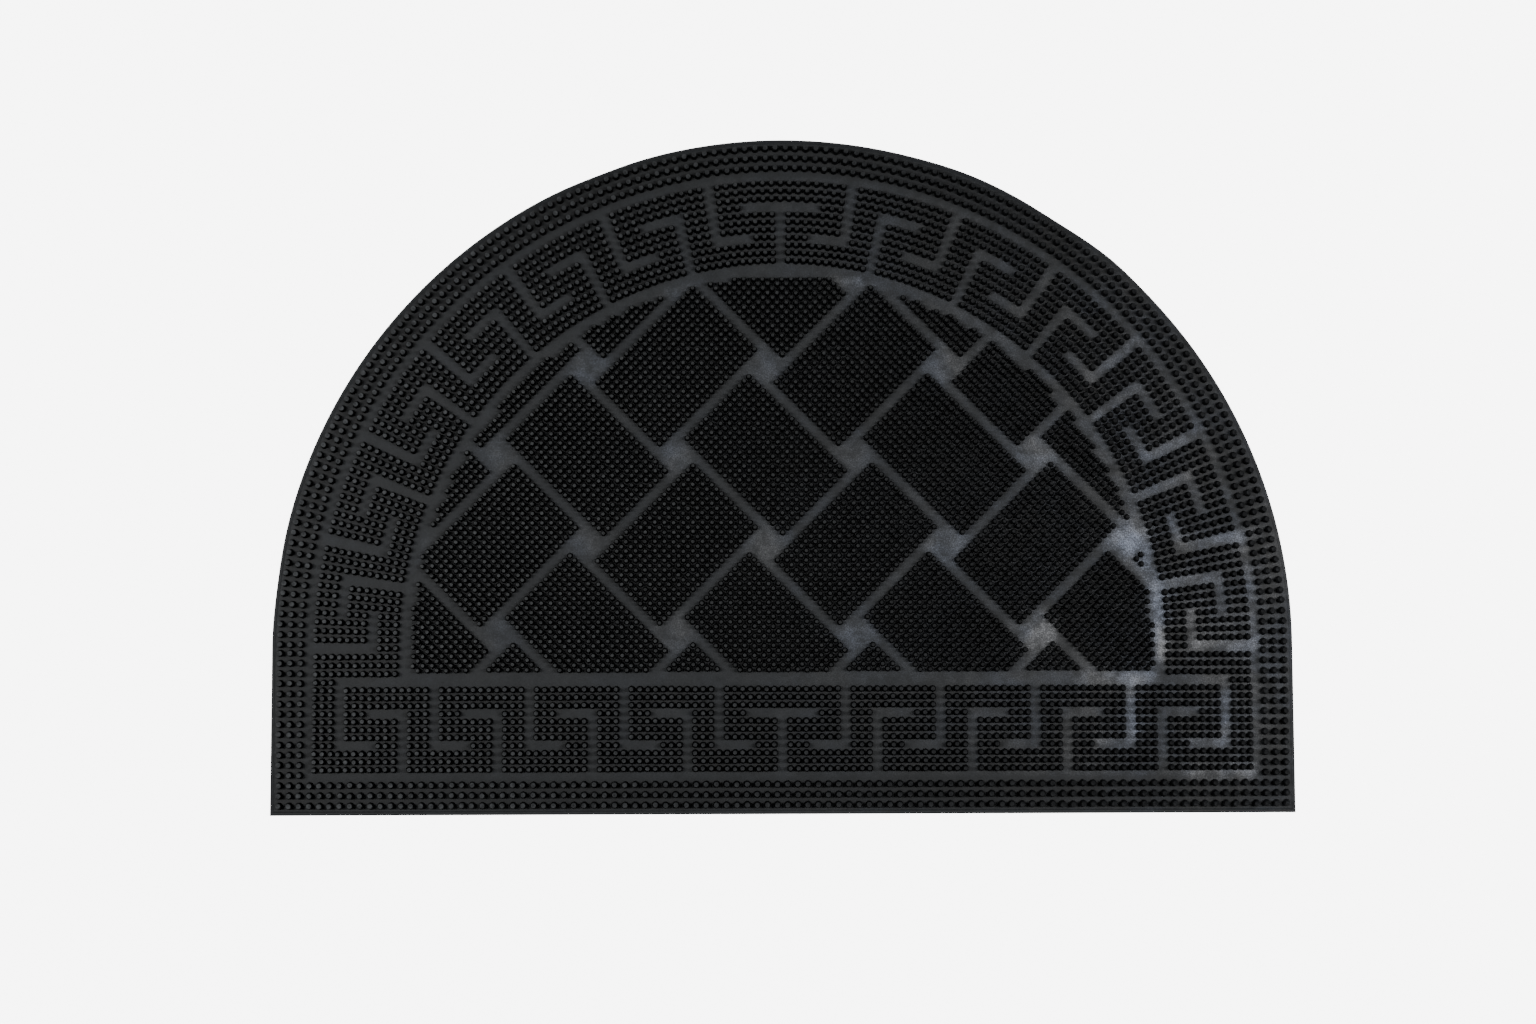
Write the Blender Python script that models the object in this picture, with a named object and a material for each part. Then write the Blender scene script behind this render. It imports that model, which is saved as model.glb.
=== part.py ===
"""A half-round rubber doormat, moulded in one piece.

A thin rubber sheet carries thousands of short pins. Here each row or group of pins is one raised
form of the pins' full height: three rows round the edge, a band of Greek key, and a field of
basket weave set at 45 degrees, in which every row of pins is a bar. Metres, +Z up, with the
origin under the middle of the mat and the straight edge towards -Y.
"""
import math

import bmesh
import bpy
from mathutils import Vector
from mathutils.geometry import delaunay_2d_cdt

# Driving sizes, in millimetres. Inside the functions Y starts at the straight edge.
WIDTH = 600.0
LENGTH = 400.0
SHEET = 2.4
TOTAL = 7.0
RIM_BEVEL = 1.4
RIM_WALL = 0.9
RADIUS = WIDTH / 2
STRAIGHT = LENGTH - RADIUS

# The border: three rows of pins that follow the edge
BORDER_INSETS = (5.7, 11.65, 17.6)
BORDER_PIN = 2.9

# The key band: 11 rows of pins across, in columns along the band
KEY_INSET = 26.7
KEY_PITCH = 4.64
KEY_PIN = 2.5
KEY_ROWS = 11
KEY_ARC_COLUMNS = 79
KEY_SIDE_PITCH = 4.98
KEY_SIDE_COLUMNS = 5
KEY_BOTTOM_COLUMNS = 59

# The bare lanes of the key. One starts at row 1 in column 8 and every 12 after it, and runs to
# row 8. The next starts at row 11 in column 12, and runs to row 4. Each then turns for 4 columns.
KEY_REPEAT = 12
KEY_TURN = 4
ROW_1_LANE_COLUMN = 8
ROW_1_LANE_END = 8
ROW_11_LANE_COLUMN = 0
ROW_11_LANE_END = 4
ROWS_BESIDE_GROOVE = 3

# The field: blocks of 21 by 14 pins on a square lattice turned by 45 degrees
FIELD_PITCH = 3.96
FIELD_PIN = 2.2
BLOCK_LONG = 21
BLOCK_SHORT = 14
BLOCK_LATTICE = 74.7
LATTICE_MIDDLE = 210.0
FIRST_BLOCK_U = -7.3
FIRST_BLOCK_V = -5.75
FIELD_BOTTOM = 82.5
FIELD_RADIUS = 217.7
SHORTEST_BAR = 2

# How the moulded edge wanders: where and how wide in degrees from +X, and how far out
EDGE_WANDER = (
    {"at": 173.0, "spread": 5.0, "out": -0.7},
    {"at": 111.0, "spread": 4.0, "out": -0.6},
    {"at": 68.0, "spread": 5.0, "out": 0.6},
    {"at": 57.0, "spread": 4.0, "out": -0.7},
    {"at": 49.0, "spread": 4.0, "out": 0.6},
)

RUBBER = (0.026, 0.029, 0.033, 1.0)
RUBBER_ROUGHNESS = 0.62
ARC_STEPS = 72
INSIDE_ONLY = 1
WELD = 1e-4
MM = 0.001


def wander(angle):
    """How far the edge stands out from its true arc at an angle from +X."""
    degrees = math.degrees(angle)
    return sum(
        bump["out"] * math.exp(-(((degrees - bump["at"]) / bump["spread"]) ** 2))
        for bump in EDGE_WANDER
    )


def arch(inset, uneven=0.0):
    """The mat's outline moved inwards, from the lower left corner round to the lower right one."""
    radius = RADIUS - inset
    points = [(-radius, inset)]
    for step in range(ARC_STEPS + 1):
        angle = math.pi * (1 - step / ARC_STEPS)
        reach = radius + uneven * wander(angle)
        points.append((reach * math.cos(angle), STRAIGHT + reach * math.sin(angle)))
    points.append((radius, inset))
    return points


def border_loops():
    """The two edges of each of the three pin rows that run round the mat."""
    half = BORDER_PIN / 2
    return [arch(inset + side * half) for inset in BORDER_INSETS for side in (-1, 1)]


def arc_place(column, row):
    """A point of the key band on the arch and its sides: column 0 is at the top, row 1 outermost."""
    radius = RADIUS - KEY_INSET - KEY_PITCH * (row - 1)
    last = KEY_ARC_COLUMNS + 0.5
    if abs(column) <= last:
        angle = math.pi / 2 * (1 - column / last)
        return radius * math.cos(angle), STRAIGHT + radius * math.sin(angle)
    drop = (abs(column) - last) * KEY_SIDE_PITCH
    return math.copysign(radius, column), STRAIGHT - drop


def bottom_place(column, row):
    """A point of the key band along the straight edge: row 1 is next to the field."""
    return column * KEY_PITCH, KEY_INSET + KEY_PITCH * (KEY_ROWS - row)


def hooked_lane(column, start, end, turn):
    """The edge of a bare lane from row `start` to row `end`, which then turns along the band."""
    half = 1 - KEY_PIN / 2 / KEY_PITCH
    inward = math.copysign(half, end - start)
    side = math.copysign(half, turn)
    tip = column + turn + side
    middle = column + turn / 2
    edge = [
        (column - side, start),
        (column - side, end + inward),
        (middle, end + inward),
        (tip, end + inward),
        (tip, end - inward),
        (middle + side, end - inward),
        (column + side, end - inward),
        (column + side, start),
    ]
    return edge if turn > 0 else edge[::-1]


def tee_lane(start, end):
    """The edge of the middle lane, which turns both ways."""
    half = 1 - KEY_PIN / 2 / KEY_PITCH
    inward = math.copysign(half, end - start)
    right = [
        (KEY_TURN + half, end + inward),
        (KEY_TURN + half, end - inward),
        (half, end - inward),
        (half, start),
    ]
    left = [(-column, row) for column, row in reversed(right)]
    return left + [(0.0, end + inward)] + right


def key_edge(last_column, lane_column, start, end, turns_to_middle):
    """One edge of the band from left to right, with a lane at each repeat."""
    path = []
    for column in range(-last_column, last_column + 1):
        if abs(column) % KEY_REPEAT != lane_column:
            continue
        if path:
            path.append(((path[-1][0] + column) / 2, start))
        if column == 0:
            path += tee_lane(start, end)
        else:
            turn = KEY_TURN if (column < 0) == turns_to_middle else -KEY_TURN
            path += hooked_lane(column, start, end, turn)
    return path


def key_loops():
    """The outer and the inner edge of the key band, each a closed loop."""
    pin = KEY_PIN / 2 / KEY_PITCH
    row_1 = 1 - pin
    row_11 = KEY_ROWS + pin
    corner = KEY_BOTTOM_COLUMNS + pin
    from_row_1 = (ROW_1_LANE_COLUMN, row_1, ROW_1_LANE_END, True)
    from_row_11 = (ROW_11_LANE_COLUMN, row_11, ROW_11_LANE_END, False)
    last_bottom_lane = KEY_BOTTOM_COLUMNS - KEY_REPEAT + 1

    outer = [arc_place(*place) for place in key_edge(KEY_ARC_COLUMNS + 1, *from_row_1)]
    outer.append(bottom_place(corner, row_11))
    foot = key_edge(last_bottom_lane, *from_row_11)
    outer += [bottom_place(*place) for place in reversed(foot)]
    outer.append(bottom_place(-corner, row_11))

    # Beside the groove above the straight band only the three outer rows run on down
    last_side_column = KEY_ARC_COLUMNS + KEY_SIDE_COLUMNS - 1 + pin
    groove_x, groove_top = arc_place(last_side_column, row_11)
    beside_x = arc_place(last_side_column, ROWS_BESIDE_GROOVE + pin)[0]
    groove_foot = bottom_place(0, row_1)[1]
    right_groove = [(groove_x, groove_top), (beside_x, groove_top), (beside_x, groove_foot)]
    left_groove = [(-x, y) for x, y in reversed(right_groove)]

    inner = [arc_place(-KEY_ARC_COLUMNS, row_11)]
    inner += [arc_place(*place) for place in key_edge(KEY_ARC_COLUMNS, *from_row_11)]
    inner.append(arc_place(KEY_ARC_COLUMNS, row_11))
    top = [bottom_place(*place) for place in key_edge(KEY_BOTTOM_COLUMNS, *from_row_1)]
    inner += right_groove + top[-2:0:-1] + left_groove
    return outer, inner


def in_field(x, y):
    """Whether a pin at this place belongs to the field inside the key band."""
    if y < STRAIGHT:
        return y >= FIELD_BOTTOM and abs(x) <= FIELD_RADIUS
    return math.hypot(x, y - STRAIGHT) <= FIELD_RADIUS


def unturned(u, v):
    """From the weave's own diagonal axes to the mat's."""
    half_root = math.sqrt(0.5)
    return half_root * (u + v), LATTICE_MIDDLE + half_root * (v - u)


def block_bars(u, v, lying):
    """The bars of one block: one for each row of pins, as long as the row lies in the field."""
    half = FIELD_PIN / 2
    bars = []
    for row in range(BLOCK_SHORT):
        across = (row - (BLOCK_SHORT - 1) / 2) * FIELD_PITCH
        along = [(pin - (BLOCK_LONG - 1) / 2) * FIELD_PITCH for pin in range(BLOCK_LONG)]
        places = [(u + a, v + across) if lying else (u + across, v + a) for a in along]
        inside = [place for place in places if in_field(*unturned(*place))]
        if len(inside) < SHORTEST_BAR:
            continue
        low_u, low_v = inside[0][0] - half, inside[0][1] - half
        high_u, high_v = inside[-1][0] + half, inside[-1][1] + half
        corners = [(low_u, low_v), (high_u, low_v), (high_u, high_v), (low_u, high_v)]
        bars.append([unturned(*corner) for corner in corners])
    return bars


def weave_bars():
    """All the bars of the field. Each block lies across its neighbours."""
    reach = int(RADIUS / BLOCK_LATTICE) + 1
    bars = []
    for i in range(-reach, reach + 1):
        for j in range(-reach, reach + 1):
            u = FIRST_BLOCK_U + BLOCK_LATTICE * i
            v = FIRST_BLOCK_V + BLOCK_LATTICE * j
            bars += block_bars(u, v, lying=(i + j) % 2 == 0)
    return bars


def edge_users(faces):
    """For each pair of joined points, the triangles that share that edge."""
    users = {}
    for index, face in enumerate(faces):
        for n in range(len(face)):
            users.setdefault(frozenset((face[n - 1], face[n])), []).append(index)
    return users


def raised_faces(faces, users, walls):
    """Which triangles are raised: each wall crossed on the way in from the rim changes the height."""
    rim = next(pair for pair in walls if len(users[pair]) == 1)
    first = users[rim][0]
    raised = {first: False}
    queue = [first]
    while queue:
        index = queue.pop()
        face = faces[index]
        for n in range(len(face)):
            pair = frozenset((face[n - 1], face[n]))
            for other in users[pair]:
                if other not in raised:
                    raised[other] = raised[index] != (pair in walls)
                    queue.append(other)
    return raised


def patterned_top(bm, loops):
    """Fill the first loop: sheet between the others, full height inside them. Returns its rim."""
    points = []
    edges = []
    for loop in loops:
        start = len(points)
        points += [Vector(point) for point in loop]
        edges += [(start + n, start + (n + 1) % len(loop)) for n in range(len(loop))]
    flat, _, faces, origins, _, _ = delaunay_2d_cdt(points, edges, [], INSIDE_ONLY, WELD)
    filled = {source: index for index, sources in enumerate(origins) for source in sources}
    walls = {frozenset((filled[a], filled[b])) for a, b in edges}
    users = edge_users(faces)
    raised = raised_faces(faces, users, walls)

    corners = {}

    def corner(index, z):
        if (index, z) not in corners:
            corners[index, z] = bm.verts.new((*flat[index], z))
        return corners[index, z]

    for index, face in enumerate(faces):
        z = TOTAL if raised[index] else SHEET
        bm.faces.new([corner(point, z) for point in face])
        for n in range(len(face)):
            a, b = face[n - 1], face[n]
            if raised[index] and not all(raised[user] for user in users[frozenset((a, b))]):
                bm.faces.new((corner(b, TOTAL), corner(a, TOTAL), corner(a, SHEET), corner(b, SHEET)))
    return [corner(filled[n], SHEET) for n in range(len(loops[0]))]


def rim_and_underside(bm, top_rim):
    """The bevelled rim, its low upright wall and the flat underside."""
    rings = [top_rim]
    for z in (RIM_WALL, 0.0):
        rings.append([bm.verts.new((*point, z)) for point in arch(0.0, uneven=1.0)])
    for upper, lower in zip(rings, rings[1:]):
        for n in range(len(upper)):
            bm.faces.new((upper[n - 1], upper[n], lower[n], lower[n - 1]))
    bm.faces.new(rings[-1])


def black_rubber():
    """Black moulded rubber, dull and a little blue."""
    material = bpy.data.materials.new("black_rubber")
    material.use_nodes = True
    shader = material.node_tree.nodes["Principled BSDF"]
    shader.inputs["Base Color"].default_value = RUBBER
    shader.inputs["Roughness"].default_value = RUBBER_ROUGHNESS
    shader.inputs["Metallic"].default_value = 0.0
    material.diffuse_color = RUBBER
    return material


def build_mat():
    """The whole mat, one closed solid."""
    bm = bmesh.new()
    loops = [arch(RIM_BEVEL, uneven=1.0), *border_loops(), *key_loops(), *weave_bars()]
    rim_and_underside(bm, patterned_top(bm, loops))
    bmesh.ops.recalc_face_normals(bm, faces=bm.faces)
    for vertex in bm.verts:
        vertex.co = (vertex.co - Vector((0.0, LENGTH / 2, 0.0))) * MM
    mesh = bpy.data.meshes.new("mat")
    bm.to_mesh(mesh)
    bm.free()
    mesh.materials.append(black_rubber())
    mat = bpy.data.objects.new("mat", mesh)
    bpy.context.scene.collection.objects.link(mat)


for leftover in list(bpy.data.objects):
    bpy.data.objects.remove(leftover, do_unlink=True)
build_mat()
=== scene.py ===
import math

import bmesh
import bpy
import numpy as np
from mathutils import Matrix, Vector
from mathutils.geometry import delaunay_2d_cdt


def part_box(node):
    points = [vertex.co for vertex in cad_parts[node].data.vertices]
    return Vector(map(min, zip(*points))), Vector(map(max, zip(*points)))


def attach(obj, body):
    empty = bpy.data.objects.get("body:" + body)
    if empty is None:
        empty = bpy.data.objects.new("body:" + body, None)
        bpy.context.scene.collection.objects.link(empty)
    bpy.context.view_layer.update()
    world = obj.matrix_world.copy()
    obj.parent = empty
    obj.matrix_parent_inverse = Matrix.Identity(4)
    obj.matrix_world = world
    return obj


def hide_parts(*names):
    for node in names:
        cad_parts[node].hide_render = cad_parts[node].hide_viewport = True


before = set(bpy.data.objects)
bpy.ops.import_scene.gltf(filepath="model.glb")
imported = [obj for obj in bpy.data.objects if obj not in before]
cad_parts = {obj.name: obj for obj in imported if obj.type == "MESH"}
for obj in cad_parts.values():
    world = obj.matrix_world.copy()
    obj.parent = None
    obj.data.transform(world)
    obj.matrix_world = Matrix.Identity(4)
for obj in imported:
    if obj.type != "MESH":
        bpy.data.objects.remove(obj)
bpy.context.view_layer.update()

# The view. The mat lies on a plain white floor and is seen from above, from a little nearer its
# straight edge. One soft lamp stands to each side, so that shadows fall along the rows of pins.
# The floor glows white to the eye alone, and throws no light of its own up the pins' sides.
CAMERA_PLACE = Vector((-0.00802, -0.12605, 1.39618))
CAMERA_TILT = 0.0738956
CAMERA_ROLL = -0.0036157
CAMERA_LENS = 55.545
FLOOR_SIZE = 6.0
FLOOR_WHITE = (0.93, 0.93, 0.93, 1.0)
FLOOR_DROP = 0.0001
FLOOR_GLOW = 7.0
LAMPS = (
    {"name": "right_lamp", "place": (1.00, 0.02, 1.36), "size": (0.22, 0.75), "power": 16.5},
    {"name": "left_lamp", "place": (-1.00, 0.04, 1.36), "size": (0.22, 0.75), "power": 14.5},
)
ROOM_LIGHT = (0.92, 0.95, 1.0, 1.0)
ROOM_STRENGTH = 0.06

camera_data = bpy.data.cameras.new("photo_view")
camera_data.lens = CAMERA_LENS
camera_data.sensor_width = 36.0
camera = bpy.data.objects.new("photo_view", camera_data)
camera.matrix_world = (
    Matrix.Translation(CAMERA_PLACE)
    @ Matrix.Rotation(CAMERA_TILT, 4, "X")
    @ Matrix.Rotation(CAMERA_ROLL, 4, "Z")
)
bpy.context.scene.collection.objects.link(camera)
bpy.context.scene.camera = camera

for lamp in LAMPS:
    lamp_data = bpy.data.lights.new(lamp["name"], "AREA")
    lamp_data.shape = "RECTANGLE"
    lamp_data.size, lamp_data.size_y = lamp["size"]
    lamp_data.energy = lamp["power"]
    lamp_object = bpy.data.objects.new(lamp["name"], lamp_data)
    lamp_object.location = lamp["place"]
    aim = -Vector(lamp["place"])
    lamp_object.rotation_euler = aim.to_track_quat("-Z", "Y").to_euler()
    bpy.context.scene.collection.objects.link(lamp_object)

room = bpy.data.worlds.new("studio")
room.use_nodes = True
room.node_tree.nodes["Background"].inputs["Color"].default_value = ROOM_LIGHT
room.node_tree.nodes["Background"].inputs["Strength"].default_value = ROOM_STRENGTH
bpy.context.scene.world = room

floor_mesh = bpy.data.meshes.new("floor")
half_floor = FLOOR_SIZE / 2
floor_corners = [(x, y, -FLOOR_DROP) for x, y in ((-1, -1), (1, -1), (1, 1), (-1, 1))]
floor_corners = [(x * half_floor, y * half_floor, z) for x, y, z in floor_corners]
floor_mesh.from_pydata(floor_corners, [], [(0, 1, 2, 3)])
floor_paint = bpy.data.materials.new("white_floor")
floor_paint.use_nodes = True
floor_shader = floor_paint.node_tree.nodes["Principled BSDF"]
floor_shader.inputs["Base Color"].default_value = FLOOR_WHITE
floor_shader.inputs["Roughness"].default_value = 0.9
floor_shader.inputs["Emission Color"].default_value = FLOOR_WHITE
floor_tree = floor_paint.node_tree
seen_directly = floor_tree.nodes.new("ShaderNodeLightPath").outputs["Is Camera Ray"]
floor_glow = floor_tree.nodes.new("ShaderNodeMath")
floor_glow.operation = "MULTIPLY"
floor_glow.inputs[1].default_value = FLOOR_GLOW
floor_tree.links.new(seen_directly, floor_glow.inputs[0])
floor_tree.links.new(floor_glow.outputs[0], floor_shader.inputs["Emission Strength"])
floor_mesh.materials.append(floor_paint)
floor = bpy.data.objects.new("floor", floor_mesh)
bpy.context.scene.collection.objects.link(floor)


# The sheet. One thin slab of black rubber, pressed in a steel mould, that carries all the pins.
# Its rim is a low ledge with a shallow groove behind it, where the two halves of the mould met.
# The edge wanders a little because soft rubber is trimmed by hand.
MM = 0.001
mat_low, mat_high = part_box("mat")
half_width = (mat_high[0] - mat_low[0]) / 2
straight_edge = mat_low[1]
arch_centre = mat_high[1] - half_width
pin_crest = mat_high[2]
sheet_top = 2.4 * MM
outline_steps = 220
rim_profile = (
    (0.30, 0.00),
    (0.06, 0.10),
    (0.00, 0.35),
    (0.02, 0.80),
    (0.22, 1.22),
    (0.60, 1.42),
    (1.05, 1.58),
    (1.40, 1.52),
    (1.75, 1.66),
    (2.20, 2.10),
    (2.60, 2.34),
    (3.00, 2.40),
)
edge_wander = (
    {"at": 173.0, "spread": 5.0, "out": -0.7},
    {"at": 111.0, "spread": 4.0, "out": -0.6},
    {"at": 68.0, "spread": 5.0, "out": 0.6},
    {"at": 57.0, "spread": 4.0, "out": -0.7},
    {"at": 49.0, "spread": 4.0, "out": 0.6},
)
surface_pitch = 3.0 * MM
surface_margin = 5.0 * MM
surface_swell = 0.07 * MM
block_lattice = 74.7 * MM
lattice_middle = 10.0 * MM
first_block_u = -7.3 * MM
first_block_v = -5.75 * MM
key_inset = 26.7 * MM
key_pitch = 4.64 * MM
# Bloom and painted sheen: listed traces of bloom along the lanes on the right, laid thickest where
# the right lamp's sheen is painted in.
bloom_and_sheen_traces = (
    {"from": (206, -38), "to": (210, -40), "spread": 9, "amount": 0.9},
    {"from": (212, -52), "to": (222, -72), "spread": 5, "amount": 0.6},
    {"from": (222, -74), "to": (222, -106), "spread": 5, "amount": 1.0},
    {"from": (224, -63), "to": (256, -62), "spread": 4, "amount": 0.5},
    {"from": (152, -90), "to": (154, -94), "spread": 8, "amount": 0.4},
    {"from": (178, -121), "to": (214, -120), "spread": 5, "amount": 0.4},
    {"from": (206, -124), "to": (206, -152), "spread": 4, "amount": 0.6},
    {"from": (206, -156), "to": (184, -158), "spread": 4, "amount": 0.25},
    {"from": (242, -176), "to": (274, -176), "spread": 5, "amount": 0.5},
    {"from": (242, -84), "to": (243, -98), "spread": 4, "amount": 0.45},
    {"from": (246, -101), "to": (276, -101), "spread": 4, "amount": 0.4},
    {"from": (240, -42), "to": (276, -37), "spread": 4, "amount": 0.45},
    {"from": (272, -40), "to": (278, -104), "spread": 4, "amount": 0.3},
    {"from": (230, -25), "to": (234, -38), "spread": 3, "amount": 0.6},
    {"from": (206, -15), "to": (240, -2), "spread": 4, "amount": 0.25},
    {"from": (216, 10), "to": (248, 25), "spread": 4, "amount": 0.35},
    {"from": (184, 56), "to": (212, 80), "spread": 4, "amount": 0.25},
    {"from": (188, 34), "to": (212, 50), "spread": 4, "amount": 0.2},
    {"from": (240, -158), "to": (258, -157), "spread": 4, "amount": 0.3},
    {"from": (259, -126), "to": (260, -156), "spread": 3, "amount": 0.25},
    {"from": (236, -76), "to": (252, -92), "spread": 13, "amount": 0.14},
    {"from": (286, -16), "to": (289, -150), "spread": 11, "amount": 0.12},
    {"from": (196, 112), "to": (270, 16), "spread": 9, "amount": 0.08},
)
bloom_least = 0.03
# The bloom grows towards the right. There it is partly real bloom and partly painted sheen.
bloom_and_sheen_drift = 0.22
bloom_and_sheen_drift_from = -0.30
bloom_and_sheen_drift_to = 0.27
bloom_and_sheen_at_crossings = 0.22
bloom_on_border = 0.35
bloom_and_sheen_strength = 1.6
border_depth = key_inset - key_pitch
weave_reach = 220 * MM
weave_foot = straight_edge + 80 * MM
unlit_black = (0.0012, 0.0013, 0.0014, 1.0)


def edge_reach(angle):
    """How far the trimmed edge stands out from its true arc, in metres."""
    degrees = math.degrees(angle)
    return MM * sum(
        bump["out"] * math.exp(-(((degrees - bump["at"]) / bump["spread"]) ** 2))
        for bump in edge_wander
    )


def arch_outline(inset):
    """The mat's outline moved inwards, from the lower left corner round to the lower right one."""
    radius = half_width - inset
    points = [(-radius, straight_edge + inset)]
    for step in range(outline_steps + 1):
        angle = math.pi * (1 - step / outline_steps)
        reach = radius + edge_reach(angle)
        points.append((reach * math.cos(angle), arch_centre + reach * math.sin(angle)))
    points.append((radius, straight_edge + inset))
    return points


def on_the_mat(x, y, margin):
    """Whether a place is on the mat and at least this far from its edge."""
    if y < straight_edge + margin:
        return False
    if y < arch_centre:
        return abs(x) <= half_width - margin
    return math.hypot(x, y - arch_centre) <= half_width - margin


def swell(x, y):
    """The faint unevenness of the moulded face."""
    long_wave = math.sin(41 * x + 13 * y + 0.6) * math.sin(23 * x - 37 * y + 1.9)
    short_wave = math.sin(97 * x - 61 * y) * math.sin(71 * x + 103 * y + 2.4)
    return surface_swell * (long_wave + 0.5 * short_wave)


def crossing(x, y):
    """How near a place is to the bare square at a crossing of the weave, from 0 to 1."""
    near = 1.0
    for tilt, first in ((-1, first_block_u), (1, first_block_v)):
        along = (x + tilt * (y - lattice_middle)) * math.sqrt(0.5) - first
        wave = math.cos(math.tau * along / block_lattice)
        near *= min(1.0, max(0.0, (-0.25 - wave) / 0.75))
    return near


def bloom_and_sheen_at(x, y):
    """How much bloom and painted sheen a place gets: most on the right, along the lanes and
    crossings.
    """
    across = (x - bloom_and_sheen_drift_from) / (bloom_and_sheen_drift_to - bloom_and_sheen_drift_from)
    across = min(1.0, max(0.0, across))
    amount = bloom_least + bloom_and_sheen_drift * across**3
    if not on_the_mat(x, y, border_depth):
        amount *= bloom_on_border
    if math.hypot(x, y - arch_centre) < weave_reach and y > weave_foot:
        amount += bloom_and_sheen_at_crossings * crossing(x, y) * (0.4 + across)
    place = Vector((x, y)) / MM
    for trace in bloom_and_sheen_traces:
        start, end = Vector(trace["from"]), Vector(trace["to"])
        share = (place - start).dot(end - start) / (end - start).length_squared
        nearest = start.lerp(end, min(1.0, max(0.0, share)))
        away = (place - nearest).length / trace["spread"]
        amount += trace["amount"] * math.exp(-(away**2))
    return amount


def sheet_form():
    """The slab: underside, stepped rim, and a swelling top whose points know their bloom and painted
    sheen.
    """
    bm = bmesh.new()
    rings = []
    for inset, height in rim_profile:
        outline = arch_outline(inset * MM)
        rings.append([bm.verts.new((x, y, height * MM)) for x, y in outline])
    for lower, upper in zip(rings, rings[1:]):
        for n in range(len(lower)):
            bm.faces.new((lower[n], lower[n - 1], upper[n - 1], upper[n]))
    bm.faces.new(rings[0])

    top_rim = rings[-1]
    points = [vertex.co.xy.copy() for vertex in top_rim]
    edges = [(n - 1, n) for n in range(1, len(points))] + [(len(points) - 1, 0)]
    rows = int((mat_high[1] - mat_low[1]) / surface_pitch)
    columns = int(half_width / surface_pitch)
    for row in range(rows):
        for column in range(-columns, columns + 1):
            x = (column + 0.5 * (row % 2)) * surface_pitch
            y = straight_edge + row * surface_pitch
            if on_the_mat(x, y, surface_margin):
                points.append(Vector((x, y)))
    flat, _, faces, sources, _, _ = delaunay_2d_cdt(points, edges, [], 1, 1e-7)
    corners = []
    for place, source in zip(flat, sources):
        if source[0] < len(top_rim):
            corners.append(top_rim[source[0]])
        else:
            corners.append(bm.verts.new((*place, sheet_top + swell(*place))))
    for face in faces:
        bm.faces.new([corners[n] for n in face])
    bmesh.ops.recalc_face_normals(bm, faces=bm.faces)
    mesh = bpy.data.meshes.new("rubber_sheet")
    bm.to_mesh(mesh)
    bm.free()
    mesh.shade_smooth()
    mesh.set_sharp_from_angle(angle=math.radians(38))
    # Each point keeps its share of bloom and painted sheen.
    bloom = mesh.attributes.new("bloom", "FLOAT", "POINT")
    bloom.data.foreach_set("value", [bloom_and_sheen_at(*vertex.co.xy) for vertex in mesh.vertices])
    return mesh


def new_group(name, inputs, outputs):
    """An empty shader group with its sockets: number inputs with defaults, and typed outputs."""
    group = bpy.data.node_groups.new(name, "ShaderNodeTree")
    for title, value in inputs:
        socket = group.interface.new_socket(title, in_out="INPUT", socket_type="NodeSocketFloat")
        socket.default_value = value
    for title, kind in outputs:
        group.interface.new_socket(title, in_out="OUTPUT", socket_type=kind)
    start = group.nodes.new("NodeGroupInput")
    end = group.nodes.new("NodeGroupOutput")
    return group, start, end


def add_noise(tree, where, scale, detail, roughness=0.5):
    """A noise texture on the given coordinates. Its scale is features per metre."""
    noise = tree.nodes.new("ShaderNodeTexNoise")
    noise.inputs["Scale"].default_value = scale
    noise.inputs["Detail"].default_value = detail
    noise.inputs["Roughness"].default_value = roughness
    tree.links.new(where, noise.inputs["Vector"])
    return noise.outputs["Fac"]


def add_range(tree, value, low, high, to_low=0.0, to_high=1.0):
    """Spread a value from low to high over a new range, held at its ends."""
    spread = tree.nodes.new("ShaderNodeMapRange")
    spread.inputs["From Min"].default_value = low
    spread.inputs["From Max"].default_value = high
    spread.inputs["To Min"].default_value = to_low
    spread.inputs["To Max"].default_value = to_high
    tree.links.new(value, spread.inputs["Value"])
    return spread.outputs["Result"]


def add_maths(tree, operation, first, second):
    """Join two values by one step of arithmetic. The second may be a plain number."""
    node = tree.nodes.new("ShaderNodeMath")
    node.operation = operation
    tree.links.new(first, node.inputs[0])
    if isinstance(second, (int, float)):
        node.inputs[1].default_value = second
    else:
        tree.links.new(second, node.inputs[1])
    return node.outputs[0]


def add_blend(tree, factor, first, second):
    """A colour between two others, by a factor."""
    mix = tree.nodes.new("ShaderNodeMix")
    mix.data_type = "RGBA"
    tree.links.new(factor, mix.inputs["Factor"])
    for socket, colour in ((mix.inputs[6], first), (mix.inputs[7], second)):
        if isinstance(colour, tuple):
            socket.default_value = colour
        else:
            tree.links.new(colour, socket)
    return mix.outputs[2]


def moulded_grain():
    """The fine spark-eroded grain that the steel mould leaves on every face."""
    inputs = [("Grains per metre", 1800.0), ("Patches per metre", 160.0)]
    group, start, end = new_group("moulded_grain", inputs, [("Height", "NodeSocketFloat")])
    place = group.nodes.new("ShaderNodeTexCoord").outputs["Object"]
    fine = add_noise(group, place, 1800.0, 3.0, 0.6)
    coarse = add_noise(group, place, 160.0, 2.0)
    group.links.new(start.outputs["Grains per metre"], fine.node.inputs["Scale"])
    group.links.new(start.outputs["Patches per metre"], coarse.node.inputs["Scale"])
    both = add_maths(group, "MULTIPLY_ADD", coarse, 0.8)
    group.links.new(fine, both.node.inputs[2])
    group.links.new(both, end.inputs["Height"])
    return group


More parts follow.
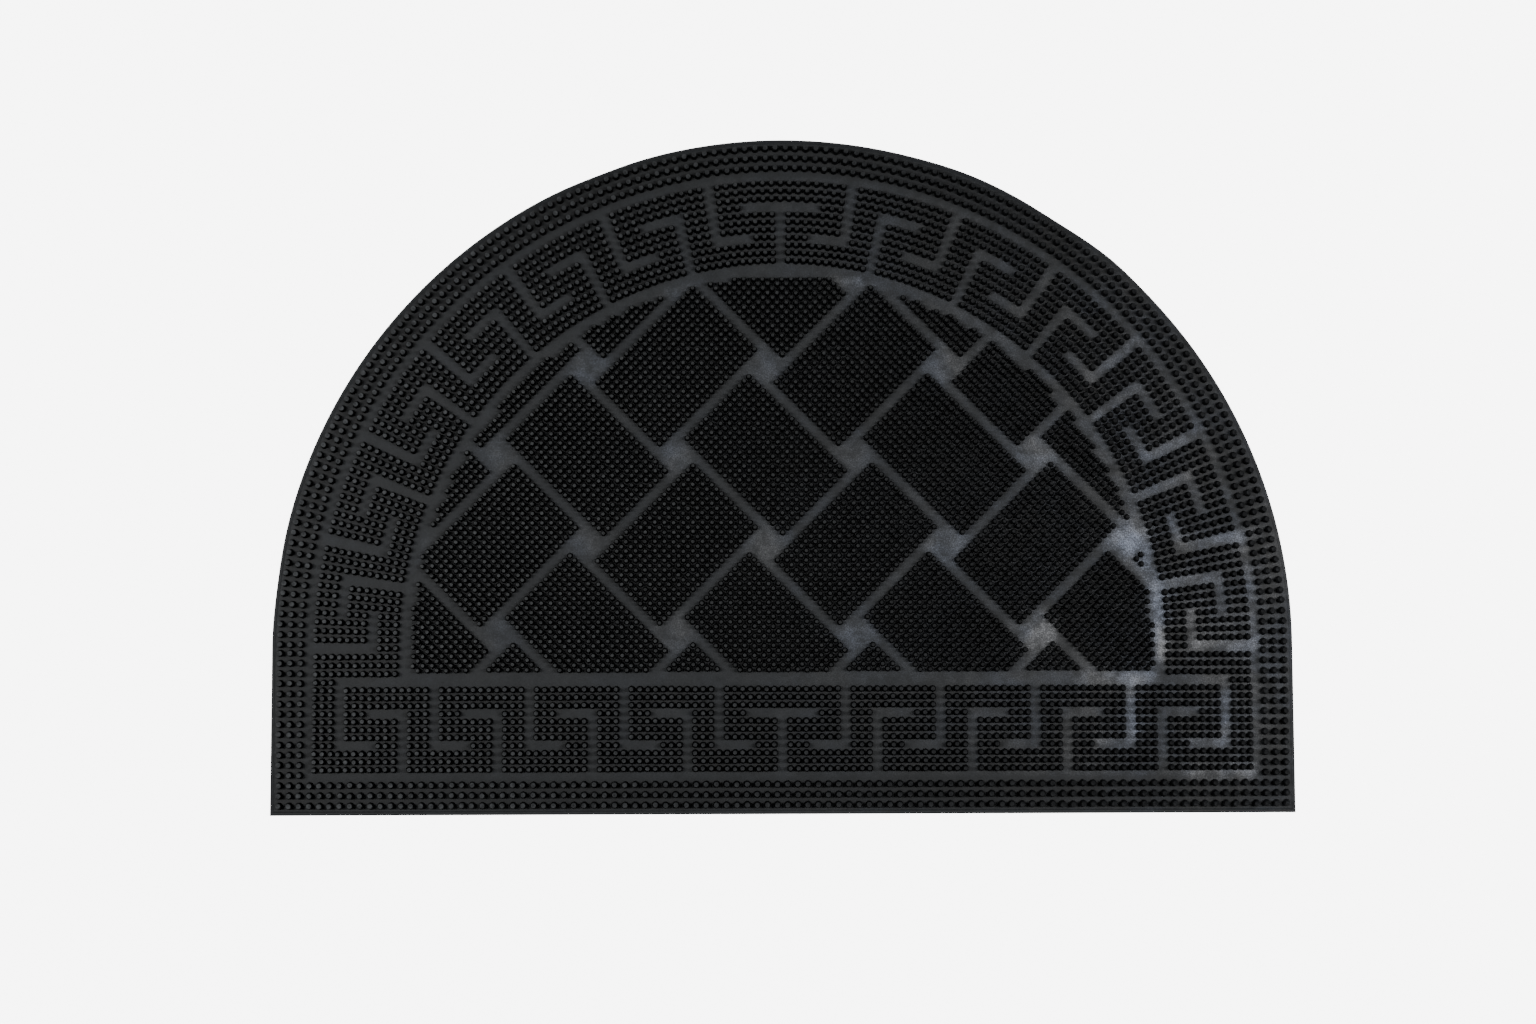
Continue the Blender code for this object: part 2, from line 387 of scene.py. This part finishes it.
def wax_bloom():
    """The pale bloom that rises out of black rubber: cloudy patches of fine bluish specks. Laid on
    thick on the right, it also carries painted sheen and painted glints.
    """
    inputs = [("Amount", 1.0), ("Specks per metre", 1300.0)]
    outputs = [("Bloom", "NodeSocketFloat"), ("Tint", "NodeSocketColor")]
    group, start, end = new_group("wax_bloom", inputs, outputs)
    place = group.nodes.new("ShaderNodeTexCoord").outputs["Object"]
    clouds = add_range(group, add_noise(group, place, 9.0, 3.0, 0.55), 0.36, 0.60, 0.6, 1.0)
    patches = add_range(group, add_noise(group, place, 110.0, 4.0, 0.7), 0.36, 0.62, 0.3, 1.2)
    fine = add_noise(group, place, 1300.0, 3.0, 0.75)
    group.links.new(start.outputs["Specks per metre"], fine.node.inputs["Scale"])
    specks = add_range(group, fine, 0.44, 0.68, 0.24, 1.0)
    cover = add_maths(group, "MULTIPLY", add_maths(group, "MULTIPLY", clouds, patches), specks)
    amount = add_maths(group, "MULTIPLY", cover, start.outputs["Amount"])
    amount.node.use_clamp = True
    group.links.new(amount, end.inputs["Bloom"])
    blue = add_range(group, add_noise(group, place, 26.0, 3.0, 0.6), 0.40, 0.60)
    tint = add_blend(group, blue, (0.345, 0.35, 0.365, 1.0), (0.31, 0.345, 0.43, 1.0))
    group.links.new(tint, end.inputs["Tint"])
    return group


grain_group = moulded_grain()
bloom_group = wax_bloom()


def sheet_rubber():
    """Slate-black rubber with moulded grain, bloom and painted sheen, and painted shade where pins
    crowd out the light.
    """
    material = bpy.data.materials.new("sheet_rubber")
    material.use_nodes = True
    tree = material.node_tree
    shader = tree.nodes["Principled BSDF"]
    place = tree.nodes.new("ShaderNodeTexCoord").outputs["Object"]
    grain = tree.nodes.new("ShaderNodeGroup")
    grain.node_tree = grain_group
    bloom = tree.nodes.new("ShaderNodeGroup")
    bloom.node_tree = bloom_group
    # The bloom laid on each point: partly real bloom, partly painted sheen.
    laid = tree.nodes.new("ShaderNodeAttribute")
    laid.attribute_name = "bloom"
    bloom_and_sheen_amount = add_maths(tree, "MULTIPLY", laid.outputs["Fac"], bloom_and_sheen_strength)
    tree.links.new(bloom_and_sheen_amount, bloom.inputs["Amount"])
    mottle = add_range(tree, add_noise(tree, place, 240.0, 4.0, 0.6), 0.35, 0.68)
    dark = add_blend(tree, mottle, (0.0115, 0.0130, 0.0142, 1.0), (0.0165, 0.0185, 0.0205, 1.0))
    axes = tree.nodes.new("ShaderNodeSeparateXYZ")
    tree.links.new(place, axes.inputs[0])
    blacker = add_range(tree, axes.outputs["X"], 0.0, 0.26, 0.0, 0.45)
    toned = add_blend(tree, blacker, dark, unlit_black)
    # Painted shade: where the occlusion test finds pins close round, the sheet is blended to unlit
    # black, and its bloom and sheen are thinned.
    shelter = tree.nodes.new("ShaderNodeAmbientOcclusion")
    shelter.samples = 6
    shelter.inputs["Distance"].default_value = 0.006
    open_sheet = add_range(tree, shelter.outputs["AO"], 0.50, 0.82)
    shade_painted_colour = add_blend(tree, open_sheet, unlit_black, toned)
    thinned_in_shade = add_range(tree, open_sheet, 0.0, 1.0, 0.8, 1.0)
    kept = add_maths(tree, "MULTIPLY", bloom.outputs["Bloom"], thinned_in_shade)
    colour = add_blend(tree, kept, shade_painted_colour, bloom.outputs["Tint"])
    tree.links.new(colour, shader.inputs["Base Color"])
    dull = add_range(tree, bloom.outputs["Bloom"], 0.0, 0.6, 0.60, 0.78)
    tree.links.new(dull, shader.inputs["Roughness"])
    bump = tree.nodes.new("ShaderNodeBump")
    bump.inputs["Strength"].default_value = 0.35
    bump.inputs["Distance"].default_value = 0.00025
    tree.links.new(grain.outputs["Height"], bump.inputs["Height"])
    tree.links.new(bump.outputs["Normal"], shader.inputs["Normal"])
    shader.inputs["Specular IOR Level"].default_value = 0.35
    return material


sheet = bpy.data.objects.new("rubber_sheet", sheet_form())
bpy.context.scene.collection.objects.link(sheet)
sheet.data.materials.append(sheet_rubber())
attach(sheet, "root")
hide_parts("mat")


# The border pins. Three rows of stout pins that follow the edge all round. Each pin is a short
# moulded peg: a flared foot, a taper that lets it out of the mould, and a round rim at the top
# about a shallow dish, where the blind hole trapped a little air.
border_insets = tuple(inset * MM for inset in (5.7, 11.65, 17.6))
border_pitch = 5.95 * MM
border_crest = 1.48 * MM
border_foot = 2.15 * MM
border_bottom_pins = 100
border_side_pins = 16
border_arch_pins = 154
peg_profile = (
    {"height": -0.050, "foot": 1.06, "crest": 0.00},
    {"height": 0.040, "foot": 1.00, "crest": 0.00},
    {"height": 0.300, "foot": 0.42, "crest": 0.60},
    {"height": 0.930, "foot": 0.00, "crest": 1.03},
    {"height": 1.000, "foot": 0.00, "crest": 0.90},
    {"height": 0.968, "foot": 0.00, "crest": 0.52},
)
peg_dish = 0.930
peg_lean = 0.045
peg_shift = 0.07 * MM
peg_height_spread = 0.016


def peg_form(crest_radius, foot_radius, sides):
    """One upright peg: its points, its faces' corners in a row, and how many each face has.

    Each ring is as wide as its share of the foot's radius and its share of the crest's.
    """
    height = pin_crest - sheet_top
    points = []
    for ring in peg_profile:
        for n in range(sides):
            angle = math.tau * n / sides
            reach = ring["foot"] * foot_radius + ring["crest"] * crest_radius
            points.append((reach * math.cos(angle), reach * math.sin(angle), ring["height"] * height))
    points.append((0.0, 0.0, peg_dish * height))
    faces = [tuple(range(sides))[::-1]]
    for level in range(len(peg_profile) - 1):
        for n in range(sides):
            low = level * sides + n
            low_after = level * sides + (n + 1) % sides
            faces.append((low, low_after, low_after + sides, low + sides))
    last = (len(peg_profile) - 1) * sides
    faces += [(last + n, last + (n + 1) % sides, len(points) - 1) for n in range(sides)]
    corners = [n for face in faces for n in face]
    return np.array(points), np.array(corners), np.array([len(face) for face in faces])


def stand_pegs(name, places, crest_radius, foot_radius, sides, seed):
    """One object of many pegs, each turned, leaning and as tall as its own bit of the mould."""
    random = np.random.default_rng(seed)
    points, corners, counts = peg_form(crest_radius, foot_radius, sides)
    many = len(places)
    turn = random.uniform(0, math.tau, many)[:, None]
    lean = random.normal(0, peg_lean / 2, (many, 2)).clip(-peg_lean, peg_lean)
    shift = random.normal(0, peg_shift, (many, 2))
    tall = 1 - np.abs(random.normal(0, peg_height_spread, many))[:, None]
    x = points[:, 0] * np.cos(turn) - points[:, 1] * np.sin(turn)
    y = points[:, 0] * np.sin(turn) + points[:, 1] * np.cos(turn)
    z = points[:, 2] * tall
    centre = np.array(places) + shift
    x = x + centre[:, 0:1] + lean[:, 0:1] * z
    y = y + centre[:, 1:2] + lean[:, 1:2] * z
    cloud = np.stack((x, y, z + sheet_top), axis=-1).reshape(-1, 3)
    all_corners = (corners[None, :] + len(points) * np.arange(many)[:, None]).reshape(-1)
    all_counts = np.tile(counts, many)
    starts = np.concatenate(([0], np.cumsum(all_counts)[:-1]))

    mesh = bpy.data.meshes.new(name)
    mesh.vertices.add(len(cloud))
    mesh.vertices.foreach_set("co", cloud.astype(np.float32).ravel())
    mesh.loops.add(len(all_corners))
    mesh.loops.foreach_set("vertex_index", all_corners.astype(np.int32))
    mesh.polygons.add(len(all_counts))
    mesh.polygons.foreach_set("loop_start", starts.astype(np.int32))
    mesh.update(calc_edges=True)
    mesh.shade_smooth()
    mesh.set_sharp_from_angle(angle=math.radians(50))
    pegs = bpy.data.objects.new(name, mesh)
    bpy.context.scene.collection.objects.link(pegs)
    return pegs


def border_places():
    """Where the border's pins stand: rows along the straight edge, up the sides, round the arch."""
    outermost = border_insets[0]
    places = []
    for inset in border_insets:
        reach = half_width - outermost
        for x in np.linspace(-reach, reach, border_bottom_pins):
            places.append((x, straight_edge + inset))
    for inset in border_insets:
        for n in range(len(border_insets), border_side_pins):
            y = straight_edge + outermost + border_pitch * n
            places += [(half_width - inset, y), (inset - half_width, y)]
        for n in range(border_arch_pins):
            angle = math.pi * n / (border_arch_pins - 1)
            reach = half_width - inset
            places.append((reach * math.cos(angle), arch_centre + reach * math.sin(angle)))
    return places


def pin_rubber(name, scuffed_and_lit_crest):
    """Black rubber with paler crests, partly scuffing and partly painted light that is strongest on
    the left. The shafts are painted near-black as painted shade.
    """
    material = bpy.data.materials.new(name)
    material.use_nodes = True
    tree = material.node_tree
    shader = tree.nodes["Principled BSDF"]
    place = tree.nodes.new("ShaderNodeTexCoord").outputs["Object"]
    axes = tree.nodes.new("ShaderNodeSeparateXYZ")
    tree.links.new(place, axes.inputs[0])
    near_crest = pin_crest - 0.7 * MM
    crest = add_range(tree, axes.outputs["Z"], near_crest, pin_crest - 0.25 * MM)
    scuff = add_range(tree, add_noise(tree, place, 330.0, 3.0, 0.65), 0.36, 0.66, 0.45, 1.0)
    # Painted light: the crests are paler, partly from scuffing and partly from painted light, and the
    # painted light is strongest on the left.
    painted_light_from_left = add_range(tree, axes.outputs["X"], -0.26, 0.20, 1.0, 0.09)
    scuff_and_light_mask = add_maths(tree, "MULTIPLY", add_maths(tree, "MULTIPLY", crest, scuff), painted_light_from_left)
    grain = tree.nodes.new("ShaderNodeGroup")
    grain.node_tree = grain_group
    grain.inputs["Grains per metre"].default_value = 2600.0
    bloom = tree.nodes.new("ShaderNodeGroup")
    bloom.node_tree = bloom_group
    bloom.inputs["Specks per metre"].default_value = 700.0
    # Bloom on the pins rises towards the right: partly real bloom, partly painted glints.
    risen_bloom_and_glints = add_range(tree, axes.outputs["X"], -0.10, 0.27, 0.0, 0.28)
    tree.links.new(risen_bloom_and_glints, bloom.inputs["Amount"])
    # Painted shade: the shafts are painted near-black, darker than the sheet's own rubber.
    worn_and_lit = add_blend(tree, scuff_and_light_mask, (0.0014, 0.0015, 0.0017, 1.0), scuffed_and_lit_crest)
    colour = add_blend(tree, bloom.outputs["Bloom"], worn_and_lit, (0.10, 0.105, 0.115, 1.0))
    tree.links.new(colour, shader.inputs["Base Color"])
    polish = add_range(tree, scuff_and_light_mask, 0.0, 1.0, 0.58, 0.62)
    tree.links.new(polish, shader.inputs["Roughness"])
    bump = tree.nodes.new("ShaderNodeBump")
    bump.inputs["Strength"].default_value = 0.3
    bump.inputs["Distance"].default_value = 0.00015
    tree.links.new(grain.outputs["Height"], bump.inputs["Height"])
    tree.links.new(bump.outputs["Normal"], shader.inputs["Normal"])
    shader.inputs["Specular IOR Level"].default_value = 0.07
    return material


def fit_pegs(pegs, material):
    """The pegs are one moulding with the sheet: same rubber, same body."""
    pegs.data.materials.append(material)
    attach(pegs, "root")
    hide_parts("mat")


# The crest colour is pale scuffing and painted light together.
border_rubber = pin_rubber("border_pin_rubber", (0.080, 0.084, 0.088, 1.0))
border_pins = stand_pegs("border_pins", border_places(), border_crest, border_foot, 12, seed=11)
fit_pegs(border_pins, border_rubber)


# The key band. Slimmer pins, 11 rows deep, that run round the arch, down both sides and along
# the straight edge. The Greek key is where pins are missing: bare lanes one pin wide that come
# in from either side by turns and hook over for four columns.
key_side_pitch = 4.98 * MM
key_rows = 11
key_arch_columns = 79
key_side_columns = 5
key_bottom_columns = 59
key_repeat = 12
key_hook = 4
key_lane_depth = 8
key_crest = 1.25 * MM
key_foot = 2.05 * MM


def bare_in_key(column, row):
    """Whether the pin of this column and row is left out to draw the key."""
    step = abs(column) % key_repeat
    outer_lane = 2 * key_hook
    inner_turn = key_rows + 1 - key_lane_depth
    lane_from_row_1 = step == outer_lane and row <= key_lane_depth
    turn_from_row_1 = row == key_lane_depth and key_hook <= step <= outer_lane
    lane_from_row_11 = step == 0 and row >= inner_turn
    turn_from_row_11 = row == inner_turn and step <= key_hook
    return lane_from_row_1 or turn_from_row_1 or lane_from_row_11 or turn_from_row_11


def key_arch_places():
    """The pins round the arch and down the sides. Row 1 is the outermost, column 0 at the top."""
    last = key_arch_columns + 0.5
    reach = key_arch_columns + key_side_columns
    places = []
    for column in range(-reach, reach + 1):
        for row in range(1, key_rows + 1):
            if bare_in_key(column, row):
                continue
            radius = half_width - key_inset - key_pitch * (row - 1)
            if abs(column) < last:
                angle = math.pi / 2 * (1 - column / last)
                places.append((radius * math.cos(angle), arch_centre + radius * math.sin(angle)))
            else:
                drop = (abs(column) - last) * key_side_pitch
                places.append((math.copysign(radius, column), arch_centre - drop))
    return places


def key_bottom_places():
    """The pins of the straight band. Row 1 is next to the field."""
    places = []
    for column in range(-key_bottom_columns, key_bottom_columns + 1):
        for row in range(1, key_rows + 1):
            if not bare_in_key(column, row):
                up = key_inset + key_pitch * (key_rows - row)
                places.append((column * key_pitch, straight_edge + up))
    return places


# The crest colour is pale scuffing and painted light together.
key_rubber = pin_rubber("key_pin_rubber", (0.092, 0.096, 0.100, 1.0))
for name, places, seed in (
    ("key_arch_pins", key_arch_places(), 21),
    ("key_straight_pins", key_bottom_places(), 22),
):
    fit_pegs(stand_pegs(name, places, key_crest, key_foot, 10, seed), key_rubber)


# The weave field. The finest pins stand close together in blocks of 21 by 14, laid at 45 degrees
# so that each block lies across its neighbours like the strands of a basket. A square of bare
# sheet shows at each crossing, and the field is cut off clean along the key band.
field_pitch = 3.96 * MM
field_crest = 1.06 * MM
field_foot = 1.82 * MM
block_long = 21
block_short = 14
field_bottom = straight_edge + 82.5 * MM
field_radius = 217.7 * MM
fewest_pins = 3


def in_field(x, y):
    """Whether a pin at this place belongs to the field inside the key band."""
    if y < arch_centre:
        return y >= field_bottom and abs(x) <= field_radius
    return math.hypot(x, y - arch_centre) <= field_radius


def block_places(u, v, lying):
    """The pins of one block that lie in the field, from its middle on the weave's diagonal axes."""
    columns, rows = (block_long, block_short) if lying else (block_short, block_long)
    root = math.sqrt(0.5)
    places = []
    for column in range(columns):
        for row in range(rows):
            pin_u = u + (column - (columns - 1) / 2) * field_pitch
            pin_v = v + (row - (rows - 1) / 2) * field_pitch
            x = root * (pin_u + pin_v)
            y = lattice_middle + root * (pin_v - pin_u)
            if in_field(x, y):
                places.append((x, y))
    return places


# The crest colour is pale scuffing and painted light together.
field_rubber = pin_rubber("field_pin_rubber", (0.092, 0.096, 0.098, 1.0))
lattice_reach = int(half_width / block_lattice) + 1
block_number = 0
for i in range(-lattice_reach, lattice_reach + 1):
    for j in range(-lattice_reach, lattice_reach + 1):
        block = block_places(
            first_block_u + block_lattice * i, first_block_v + block_lattice * j, (i + j) % 2 == 0
        )
        if len(block) < fewest_pins:
            continue
        block_number += 1
        name = f"weave_block_{block_number:02d}"
        pegs = stand_pegs(name, block, field_crest, field_foot, 8, seed=100 + block_number)
        fit_pegs(pegs, field_rubber)
